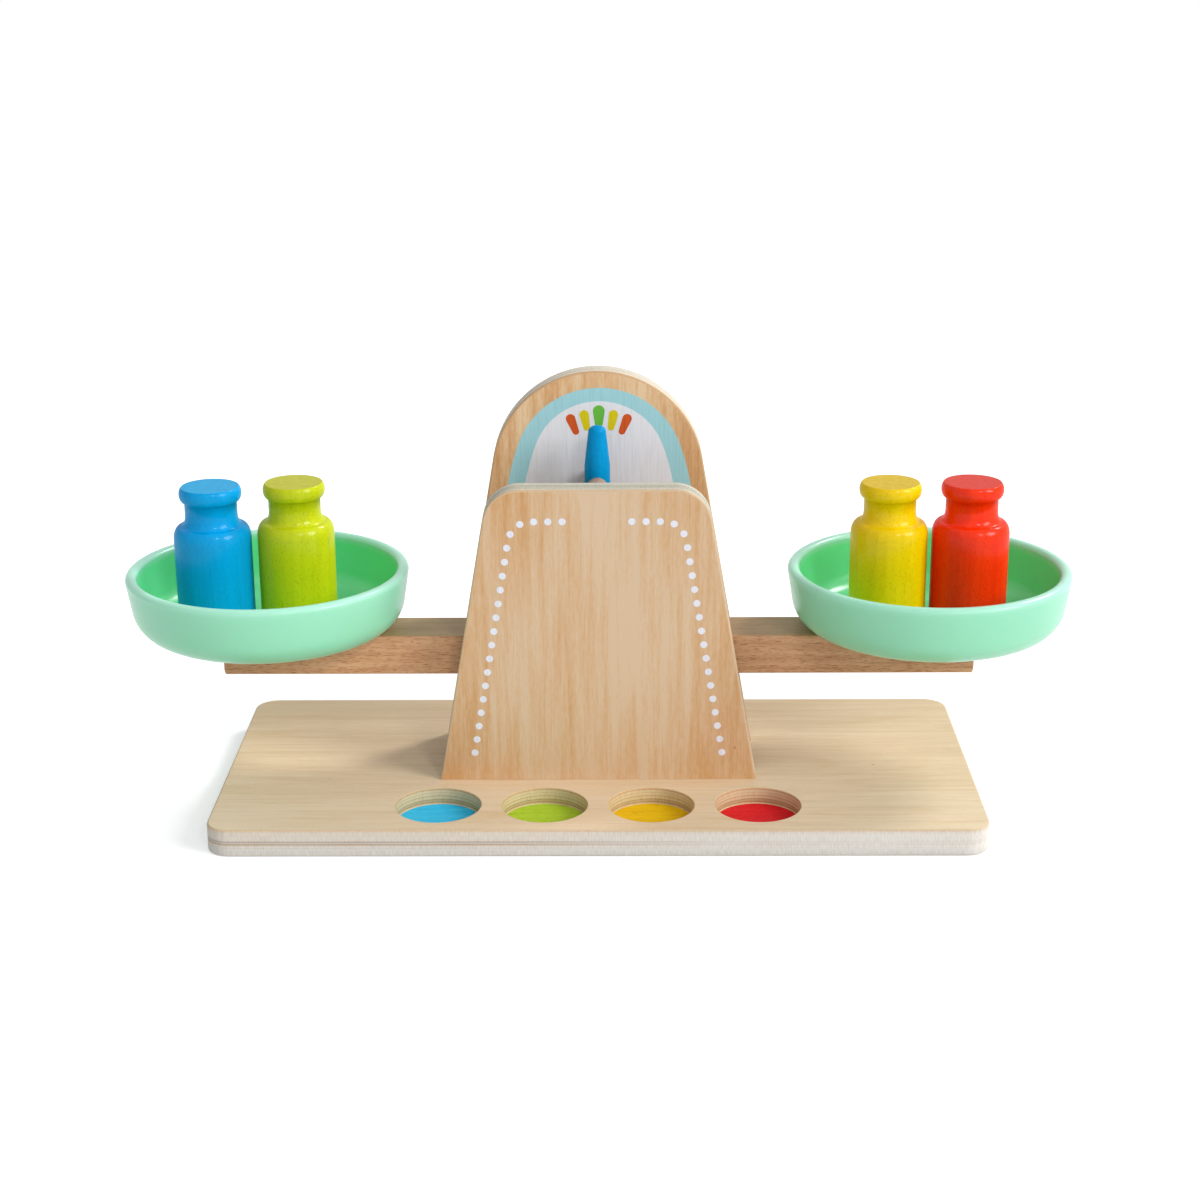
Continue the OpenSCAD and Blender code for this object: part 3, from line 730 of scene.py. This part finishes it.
MARKS = [
    # name, ink, slot, sides, top centre and radius, low centre and radius
    ("dial_mark_green", "green", "green_stain", (0,), ((0, 162.8), 2.5, (0, 157.4), 1.7)),
    ("dial_marks_yellow", "yellow", "yellow_stain", (-1, 1), ((6.2, 161.2), 2.0, (5.2, 155.7), 1.4)),
    ("dial_marks_orange", "orange", "red_stain", (-1, 1), ((12.0, 159.5), 2.0, (9.8, 153.9), 1.4)),
]
for name, tone, slot, sides, (top, top_r, low, low_r) in MARKS:
    patches = []
    for side in sides:
        mark = wedge((DIAL_X + side * top[0], top[1]), top_r, (DIAL_X + side * low[0], low[1]), low_r)
        patches += film(mark, dial_y, 3, tone)
    piece(name, patches, "stand", smooth=False)

# %% Dots along the front panel's edge
DOT_R = 1.5
TOP_DOTS = [(14.35, 126.2), (20.2, 126.2), (26.05, 126.2), (31.75, 125.15), (35.8, 120.9), (37.3, 114.95)]
SIDE_STEPS, LAST_DOT = 15, (52.5, 24.05)

step = np.arange(1, SIDE_STEPS + 1)[:, None] / SIDE_STEPS
right_dots = np.concatenate([TOP_DOTS, np.array(TOP_DOTS[-1]) + step * (np.array(LAST_DOT) - TOP_DOTS[-1])])
dots = np.concatenate([right_dots, right_dots * (-1, 1)])
patches = []
for centre in dots:
    patches += film(arc(centre, DOT_R, 0, 360, 24), front_y, 1, "dot")
piece("panel_dots", patches, "stand", smooth=False)
print(len(dots), "dots")

# %% [markdown]
# ## The beam
# The beam is planed beech. Beech is told by its rays, short dark dashes along the grain on a pinkish tan
# ground. Its long arrises are just broken and its ends are rounded more, so the arris radius changes along
# the outline. The two holes for the bowls' pegs show when a bowl is lifted off.

# %% Beech finish
# The streaks' size, the levels of the three tones, and how softly a ray's dash begins
STREAK_MM, STREAK_LEVELS, DASH_EDGE = (40, 2.5), (0.35, 0.5, 0.65), 0.07


def beech(name, tones, dash_tone, axis, dash_mm, dash_level, rough, seed, shine=0.3, lacquer=0.0):
    """Beech. tones are three hex codes from pale to deep, dash_tone tints the rays, dash_mm is a ray's length
    and width, and dash_level the noise above which there is a ray. shine is the wood's own, and lacquer the
    share of a clear glossy coat."""
    made, tree, place = new_finish(name)
    shifted = shifted_by(tree, place, seed)
    streak = mottle(tree, shifted, axis, STREAK_MM, 5.0, 0.65)
    tone = add(tree, "ShaderNodeValToRGB", {0: streak}, list(zip(STREAK_LEVELS, tones)))
    rays = mottle(tree, shifted, axis, dash_mm, 1.0)
    dash = add(tree, "ShaderNodeMapRange", {0: rays, 1: dash_level, 2: dash_level + DASH_EDGE})
    dashed = add(tree, "ShaderNodeMix", {0: dash, 6: tone, 7: colour(dash_tone)},
                 data_type="RGBA", blend_type="MULTIPLY")
    bump = add(tree, "ShaderNodeBump", {"Strength": 0.15, "Distance": 0.05 * MM, "Height": dash}, invert=True)
    skin = add(tree, "ShaderNodeBsdfPrincipled",
               {"Base Color": dashed.outputs[2], "Roughness": rough, "IOR": 1.5, "Specular IOR Level": shine,
                "Coat Weight": lacquer, "Coat Roughness": 0.15, "Coat IOR": 2.0, "Normal": bump})
    add(tree, "ShaderNodeOutputMaterial", {"Surface": skin})
    return made


beam_finish = beech("planed_beech", ("#DAAB82", "#D09E74", "#C49168"), "#CEB3A0", 0, (3.2, 0.24), 0.58,
                    0.48, 5.3)
# The upper face has darker, greener tones than the sides: painted shade under the bowls and painted green light
# from them
beam_top_shaded_finish = beech("planed_beech_top_painted_shade", ("#C4A378", "#BC9B70", "#B29066"), "#DCCAB6", 0, (6.0, 0.3), 0.62,
                        0.5, 6.7)
dowel_finish = beech("turned_beech", ("#B39883", "#AB8E7A", "#A08370"), "#D8C4B4", 1, (2.0, 0.36), 0.6,
                     0.55, 9.1)

# %% Beam
BEAM_LOW, BEAM_HIGH = box_mm("beam")
END_ARRIS = 2.5
PEG_HOLE_R, PEG_HOLE_DEPTH = 6.3, 10.6
TENON_HOLE_R, TENON_DEPTH = 4.05, 12.6
MOUTH = 0.3
# The upper face's cells lie between these, and so far in from the long sides
CELL_X, CELL_IN_Y = (-156.5, -70, 70, 156.5), 1.6
BEAM_CORNER_STEPS, BEAM_STEPS, CELL_STEPS = 6, (96, 12), (32, 12)
BOWL_CENTRES = [box_mm(node).mean(0) for node in ("left_bowl", "right_bowl")]

points, normals = box_outline(BEAM_LOW[:2], BEAM_HIGH[:2], ARRIS, BEAM_CORNER_STEPS, BEAM_STEPS)
# The arris is END_ARRIS where the outline faces along x, and ARRIS where it faces along y
arris = ARRIS + (END_ARRIS - ARRIS) * normals[:, 0] ** 2
band = edge_band(points, normals, BEAM_LOW[2], BEAM_HIGH[2], arris[None, :], 7)
top = BEAM_HIGH[2]
y0, y1 = BEAM_LOW[1] + CELL_IN_Y, BEAM_HIGH[1] - CELL_IN_Y
mid_y = (y0 + y1) / 2
bores = [(BOWL_CENTRES[0][0], PEG_HOLE_R, PEG_HOLE_DEPTH), (0, TENON_HOLE_R, TENON_DEPTH),
         (BOWL_CENTRES[1][0], PEG_HOLE_R, PEG_HOLE_DEPTH)]
cells = list(zip(CELL_X, CELL_X[1:]))
patches = [(band, beam_finish)]
for (x, radius, depth), (x0, x1) in zip(bores, cells):
    hole = [(radius + MOUTH, top), (radius, top - MOUTH), (radius, top - depth), (0, top - depth)]
    patches += drilled_cell((x0, y0), (x1, y1), CELL_STEPS, (x, mid_y), top, hole,
                            (beam_top_shaded_finish, beam_finish))
strip, _ = box_outline((CELL_X[0], y0), (CELL_X[-1], y1), 0, BEAM_CORNER_STEPS, BEAM_STEPS)
# The strip's long sides are cut where the cells are, so that their points meet
cuts = np.concatenate([np.linspace(*cell, CELL_STEPS[0] + 1)[:-1] for cell in cells] + [CELL_X[-1:]])
even = np.linspace(CELL_X[0], CELL_X[-1], BEAM_STEPS[0] + 1)
strip[:, 0] = np.interp(strip[:, 0], even, cuts)
patches.append((between(band[-1], at_level(strip, top), (0, 0.2, 1)), beam_top_shaded_finish))
patches.append((between(band[0], (0, mid_y, BEAM_LOW[2]), (0, 0.02, 0.5, 1)), beam_finish))
piece("beam_beech", patches, "swing", ["beam"])

# %% [markdown]
# ## Turned and moulded rounds
# A bowl, a weight and the pointer are all round: a profile carried once about an upright axis. The profile
# is a list of short arcs and of points between them. A point close to an edge keeps the flat beside it
# evenly shaded. Loose pieces end 0.02 mm over what they stand on: faces in one and the same plane would cut
# each other or not by rounding alone once the beam tilts.

# %% Turning a profile
REST_GAP = 0.02


def turned(profile, centre, steps):
    """A profile of (radius, height) carried about the axis at centre: x = cx + r cos a, y = cy + r sin a."""
    angle = np.linspace(0, 2 * np.pi, steps + 1)
    radius, height = np.array(profile).T[:, :, None]
    return np.stack([centre[0] + radius * np.cos(angle), centre[1] + radius * np.sin(angle),
                     height + 0 * angle], -1)


def resting(profile):
    """The profile of a loose piece that stands at height 0: its points there are lifted by REST_GAP."""
    lifted = np.array(profile, float)
    lifted[np.abs(lifted[:, 1]) < REST_GAP, 1] = REST_GAP
    return lifted


print("a foot that rests at height 0:", resting([(0, 0), (1, 0), (1, 5)]).tolist())

# %% [markdown]
# ## The bowls
# The bowls are injection moulded, most likely ABS or polypropylene in a mint green. The wall leans out, runs
# into the floor in a wide round and ends in a soft rim. Such a plastic is a little translucent: light that
# went through the wall or bounced about in the bowl comes out a deeper green, while the thin rim stays pale.
# So each side of the wall gets a finish whose tone follows the height, and both end in the same pale tone.

# %% Mint plastic
BOWL_R, BOWL_H, FOOT_R, CORNER_R = 60.0, 27.1, 56.0, 13.8
WALL, FLOOR_T, RIM_H = 4.9, 3.4, 2.2
PEG_R, PEG_L, PEG_END, PEG_ROOT = 6.0, 10.0, 0.6, 0.3
# How far the tone drifts, as a share of the bowl's height
CLOUD = 0.04
MINT_TONES = {
    # (share of the bowl's height, hex code)
    "outer": [(0, "#8AD2AE"), (0.3, "#94DAB6"), (0.88, "#98DBBB"), (1, "#A8E0C8")],
    "inner": [(0.1, "#86E8B0"), (0.3, "#74E6A2"), (0.86, "#70E59C"), (0.95, "#9BE0BC"), (1, "#A8E0C8")],
}

mints = {}
for side, stops in MINT_TONES.items():
    mints[side], tree, place = new_finish("moulded_mint_plastic_" + side)
    # Spark-eroded mould skin is about 0.05 mm fine; 0.6 mm is the finest that shows in the render
    grit = mottle(tree, place, 0, (0.6, 0.6), 2.0)
    cloud = mottle(tree, place, 0, (30, 30), 2.0)
    parts = add(tree, "ShaderNodeSeparateXYZ", {0: place})
    foot = BEAM_HIGH[2] * MM
    height = add(tree, "ShaderNodeMapRange", {0: parts.outputs[2], 1: foot, 2: foot + BOWL_H * MM})
    drifted = add(tree, "ShaderNodeMath", {0: cloud, 1: CLOUD, 2: height}, operation="MULTIPLY_ADD")
    tone = add(tree, "ShaderNodeValToRGB", {0: drifted}, stops)
    bump = add(tree, "ShaderNodeBump", {"Strength": 0.06, "Distance": 0.05 * MM, "Height": grit})
    skin = add(tree, "ShaderNodeBsdfPrincipled",
               {"Base Color": tone, "Roughness": 0.28, "IOR": 1.46, "Subsurface Weight": 0.5,
                "Subsurface Radius": (0.5, 1.0, 0.5), "Subsurface Scale": 8 * MM, "Normal": bump})
    add(tree, "ShaderNodeOutputMaterial", {"Surface": skin})

# %% Bowls
rim_z = BOWL_H - RIM_H
flare = np.arctan((BOWL_R - FOOT_R) / rim_z)
flare_deg = np.degrees(flare)
inner_x = FOOT_R - WALL / np.cos(flare)
inner_r = CORNER_R - WALL
outer_c = (FOOT_R - CORNER_R * (1 - np.sin(flare)) / np.cos(flare), CORNER_R)
inner_c = (inner_x + ((FLOOR_T + inner_r) * np.sin(flare) - inner_r) / np.cos(flare), FLOOR_T + inner_r)
rim_half = WALL / np.cos(flare) / 2
rim = (BOWL_R - rim_half, rim_z)
profiles = {
    "outer": [[(0, -PEG_L), (PEG_R - PEG_END, -PEG_L), (PEG_R, -PEG_L + PEG_END), (PEG_R, -PEG_ROOT),
               (PEG_R + PEG_ROOT, 0), (PEG_R + 2, 0)],
              arc(outer_c, CORNER_R, -90, -flare_deg, 16),
              arc(rim, (rim_half, RIM_H), 0, 90)],
    "inner": [arc(rim, (rim_half, RIM_H), 90, 180),
              arc(inner_c, inner_r, -flare_deg, -90, 16),
              [(inner_c[0] / 2, FLOOR_T), (0, FLOOR_T)]],
}
for side, centre in zip(("left", "right"), BOWL_CENTRES):
    patches = [(turned(resting(np.concatenate(profile)) + (0, BEAM_HIGH[2]), centre, 160), mints[wall])
               for wall, profile in profiles.items()]
    piece(side + "_bowl_shell", patches, side + "_bowl", [side + "_bowl"])

# %% [markdown]
# ## The weights
# The weights are turned from beech with the grain upright, dipped in a water stain and lacquered. Stain
# sinks deeper into the open pores, so short darker dashes run up and down through the colour, and the
# lacquer adds a clear gloss. The cap's flat top is end grain, which drinks more stain.

# %% Shape of a weight
WEIGHT_H, WEIGHT_R = 60.4, 16.3
CAP_R, CAP_FLAT_R, CAP_H, CAP_DROP = 13.1, 12.05, 6.5, 2.9
NECK_R, NECK_L = 11.0, 5.5
HOLLOW_H, SHOULDER_H, FOOT_ROUND, LEDGE_SHARE = 4.8, 5.4, 1.2, 0.44

neck_top = WEIGHT_H - CAP_H
neck_bottom = neck_top - NECK_L
body_top = neck_bottom - HOLLOW_H - SHOULDER_H
ledge_r = NECK_R + (WEIGHT_R - NECK_R) * LEDGE_SHARE
widest_z = WEIGHT_H - CAP_DROP
# The cap's rounding is cut off by its flat top at this angle, which leaves a crisp edge
crisp = np.arccos((CAP_FLAT_R - NECK_R) / (CAP_R - NECK_R))
weight_profile = resting(np.concatenate([
    [(0, 0), (WEIGHT_R - FOOT_ROUND - 0.5, 0)],
    arc((WEIGHT_R - FOOT_ROUND, FOOT_ROUND), FOOT_ROUND, -90, 0, 6),
    arc((ledge_r, body_top), (WEIGHT_R - ledge_r, SHOULDER_H), 0, 90),
    arc((ledge_r, neck_bottom), (NECK_R - ledge_r, -HOLLOW_H), 90, 0),
    arc((NECK_R, widest_z), (CAP_R - NECK_R, widest_z - neck_top), -90, 0),
    arc((NECK_R, widest_z), (CAP_R - NECK_R, CAP_DROP / np.sin(crisp)), 0, np.degrees(crisp))]))
cap_top = [weight_profile[-1], (CAP_FLAT_R - 0.1, WEIGHT_H), (CAP_FLAT_R - 0.6, WEIGHT_H), (0, WEIGHT_H)]
print("a weight's profile has", len(weight_profile), "points")

# %% Stains and weights
STAINS = {
    # pale, middle and deep tone of the side and of the cap's end grain, tint of the pores, lacquer
    "blue": (("#009FDE", "#009BD8", "#0096D2"), ("#04A4D8", "#00A0D4", "#009ACC"), "#DEE8F0", 0.08),
    "green": (("#C2CC12", "#BFC90E", "#BAC40A"), ("#BEBC22", "#B8B81A", "#B0B012"), "#DEE0CC", 0.12),
    "yellow": (("#F4D006", "#F1CB02", "#ECC500"), ("#DCBA0C", "#D6B404", "#CEAE02"), "#E8DCC0", 0.12),
    "red": (("#FF3806", "#FD3303", "#F62E02"), ("#DE300A", "#D82A06", "#D02604"), "#E4CEC8", 0.13),
}
# The stain leaves the wood itself dull; the gloss is the lacquer's
STAINED_ROUGH, STAINED_SHINE = 0.4, 0.04

for seed, (name, (side_tones, end_tones, pores, lacquer)) in enumerate(STAINS.items()):
    side = beech(name + "_stained_beech", side_tones, pores, 2, (1.4, 0.3), 0.6, STAINED_ROUGH, seed,
                 STAINED_SHINE, lacquer)
    end = beech(name + "_stained_end_grain", end_tones, pores, 2, (0.5, 0.5), 0.62, STAINED_ROUGH, seed + 30.0,
                STAINED_SHINE, lacquer)
    low, high = box_mm("weight_" + name)
    centre = (low + high) / 2
    patches = [(turned(np.array(line) + (0, low[2]), centre, 112), finish)
               for line, finish in ((weight_profile, side), (cap_top, end))]
    piece(name + "_weight", patches, "weight_" + name, ["weight_" + name])

# %% [markdown]
# ## The pointer
# The pointer is a beech stick with a turned tip. It is a shade deeper blue than the blue weight, painted shade
# between the panels, and it has hardly any gloss. Its foot is a tenon glued into the beam, and the steel pin
# passes through it.

# %% Pointer
POINTER_R, TENON_R = 5.4, 4.0
TAPER_L, TIP_R, NOSE_H = 14.7, 3.7, 2.4
low, high = box_mm("pointer")
nose_z = high[2] - NOSE_H
stick = np.concatenate([
    [(0, low[2]), (TENON_R, low[2]), (TENON_R, BEAM_HIGH[2]), (POINTER_R, BEAM_HIGH[2]),
     (POINTER_R, nose_z - TAPER_L - 2), (POINTER_R, nose_z - TAPER_L)],
    arc((0, nose_z), (TIP_R, NOSE_H), 0, 90)])
# The deeper blue is painted shade between the panels
shaded_deep_blue = beech("pointer_stained_beech_painted_shade", ("#009AD6", "#0091CC", "#0088C2"), "#DEE6EC", 2, (1.4, 0.3), 0.6,
                  STAINED_ROUGH, 17.0, STAINED_SHINE, 0.02)
piece("pointer_stick", [(turned(stick, (low + high) / 2, 64), shaded_deep_blue)], "swing", ["pointer"])

# %% [markdown]
# ## Small parts that stay as the CAD made them
# Discs, dowels, spacers, screws and the pin have the right shape already, so they only get a finish. The
# discs are thin wood with the same stains, seen deep in the sockets. The screws and the pin are steel with
# a bright zinc coat, whose fine scratches run at random.

# %% Discs, dowels, spacers and steel
DISC_STAINS = {
    "blue": ("#40D2FF", "#36CCFF", "#2CC2FA", "#E0E8EC"),
    "green": ("#B8DA3A", "#B2D636", "#A8CC2E", "#E4E8D0"),
    "yellow": ("#F6CC0A", "#F2C604", "#EABC04", "#ECE0C0"),
    "red": ("#EE2430", "#EA1C2A", "#E01622", "#E4C8C8"),
}
wears = dict.fromkeys(("panel_dowels", "front_spacer", "rear_spacer"), dowel_finish)
for seed, (name, tones) in enumerate(DISC_STAINS.items()):
    wears["disc_" + name] = beech(name + "_stained_disc", tones[:3], tones[3], 0, (3.0, 0.5), 0.6, 0.5,
                                  seed + 20.0, 0.15)

zinc, tree, place = new_finish("zinc_plated_steel")
scuffs = mottle(tree, place, 0, (0.8, 0.8), 4.0)
tone = add(tree, "ShaderNodeValToRGB", {0: scuffs}, [(0.35, "#B4B8BE"), (0.65, "#C6C9CE")])
rough = add(tree, "ShaderNodeMapRange", {0: scuffs, 3: 0.28, 4: 0.42})
skin = add(tree, "ShaderNodeBsdfPrincipled", {"Base Color": tone, "Metallic": 1.0, "Roughness": rough})
add(tree, "ShaderNodeOutputMaterial", {"Surface": skin})
wears.update(panel_screws=zinc, axle_pin=zinc)
for node, finish in wears.items():
    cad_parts[node].material_slots[0].material = finish
print("carried over:", sorted(wears))

# %% [markdown]
# ## Colour management and the end
# The view transform is Standard, so a colour on screen is the colour that was written.

# %% Finish
bpy.context.scene.view_settings.view_transform = "Standard"
